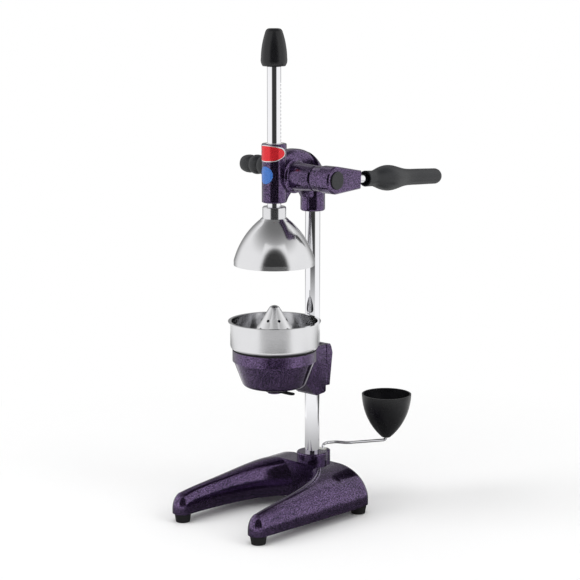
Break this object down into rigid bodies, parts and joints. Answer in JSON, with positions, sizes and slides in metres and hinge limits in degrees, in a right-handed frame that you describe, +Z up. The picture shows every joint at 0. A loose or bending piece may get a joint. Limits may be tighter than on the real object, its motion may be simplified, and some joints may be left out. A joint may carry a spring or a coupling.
{
  "type": "juice press",
  "caption": "Table-top juice press worked by a side lever: horseshoe base, column, rack-driven bell, strainer cup and bowl, and a swinging drip cup.",
  "frame": {"origin": "where the column's axis meets the table", "axes": "+Z up along the column, the open end of the base at -Y, the lever on the +X side"},
  "size_m": [0.1844, 0.3668, 0.6436],
  "materials": {
    "base_casting": "hammertone enamel over cast iron",
    "rubber_feet": "matt",
    "foot_screws": "zinc plated",
    "column": "polished",
    "column_set_screws": "zinc plated",
    "head_casting": "hammertone enamel",
    "ram_guides": "moulded",
    "ram_bar": "polished",
    "knob": "gloss",
    "knob_insert": "machined",
    "bell_hub": "polished",
    "pressing_bell": "polished",
    "bell_washer": "polished",
    "bell_screw": "polished",
    "pinion": "zinc plated",
    "pinion_shaft": "zinc plated",
    "shaft_keys": "zinc plated",
    "pinion_housing": "hammertone enamel",
    "shaft_bushes": "machined",
    "lever_arm": "hammertone enamel",
    "hub_washer": "zinc plated",
    "hub_bolt": "zinc plated",
    "hub_cap": "satin",
    "rod_screw": "zinc plated",
    "lever_rod": "polished",
    "lever_grip": "satin",
    "steadying_grip": "satin",
    "grip_stud": "polished",
    "strainer_cup": "polished",
    "strainer_cone": "polished",
    "bowl_gasket": "matt",
    "bowl_casting": "hammertone enamel",
    "bracket_cap": "hammertone enamel",
    "bracket_screws": "zinc plated",
    "outlet_strip": "matt",
    "drip_wire": "polished",
    "pivot_bush": "moulded",
    "drip_cup": "satin"
  },
  "bodies": {
    "frame": {"base_casting": "base_casting", "rubber_feet": "rubber_feet", "foot_screws": "foot_screws", "column": "column", "column_set_screws": "column_set_screws", "head_casting": "head_casting", "ram_guides": "ram_guides", "pinion_housing": "pinion_housing", "shaft_bushes": "shaft_bushes", "steadying_grip": "steadying_grip", "grip_stud": "grip_stud", "bowl_gasket": "bowl_gasket", "bowl_casting": "bowl_casting", "bracket_cap": "bracket_cap", "bracket_screws": "bracket_screws", "outlet_strip": "outlet_strip", "pivot_bush": "pivot_bush"},
    "ram": {"ram_bar": "ram_bar", "knob": "knob", "knob_insert": "knob_insert", "bell_hub": "bell_hub", "pressing_bell": "pressing_bell", "bell_washer": "bell_washer", "bell_screw": "bell_screw"},
    "lever": {"pinion": "pinion", "pinion_shaft": "pinion_shaft", "shaft_keys": "shaft_keys", "lever_arm": "lever_arm", "hub_washer": "hub_washer", "hub_bolt": "hub_bolt", "hub_cap": "hub_cap", "rod_screw": "rod_screw", "lever_rod": "lever_rod", "lever_grip": "lever_grip"},
    "drip_arm": {"drip_wire": "drip_wire", "drip_cup": "drip_cup"},
    "strainer": {"strainer_cup": "strainer_cup", "strainer_cone": "strainer_cone"}
  },
  "joints": [
    {"name": "lever_swing", "type": "hinge", "parent": "frame", "child": "lever", "pos_m": [0, -0.05225, 0.454], "axis": [1, 0, 0], "range_deg": [0, 285]},
    {"name": "ram_slide", "type": "slide", "parent": "frame", "child": "ram", "axis": [0, 0, -1], "range_m": [0, 0.0896]},
    {"name": "drip_arm_swing", "type": "hinge", "parent": "frame", "child": "drip_arm", "pos_m": [0.004, 0.017, 0.0775], "axis": [0, 0, -1], "range_deg": [0, 151.5]},
    {"name": "strainer_lift", "type": "slide", "parent": "frame", "child": "strainer", "axis": [0, 0, 1], "range_m": [0, 0.015]}
  ],
  "couplings": [
    {"joint": "ram_slide", "follows": "lever_swing", "m_per_rad": 0.018}
  ]
}
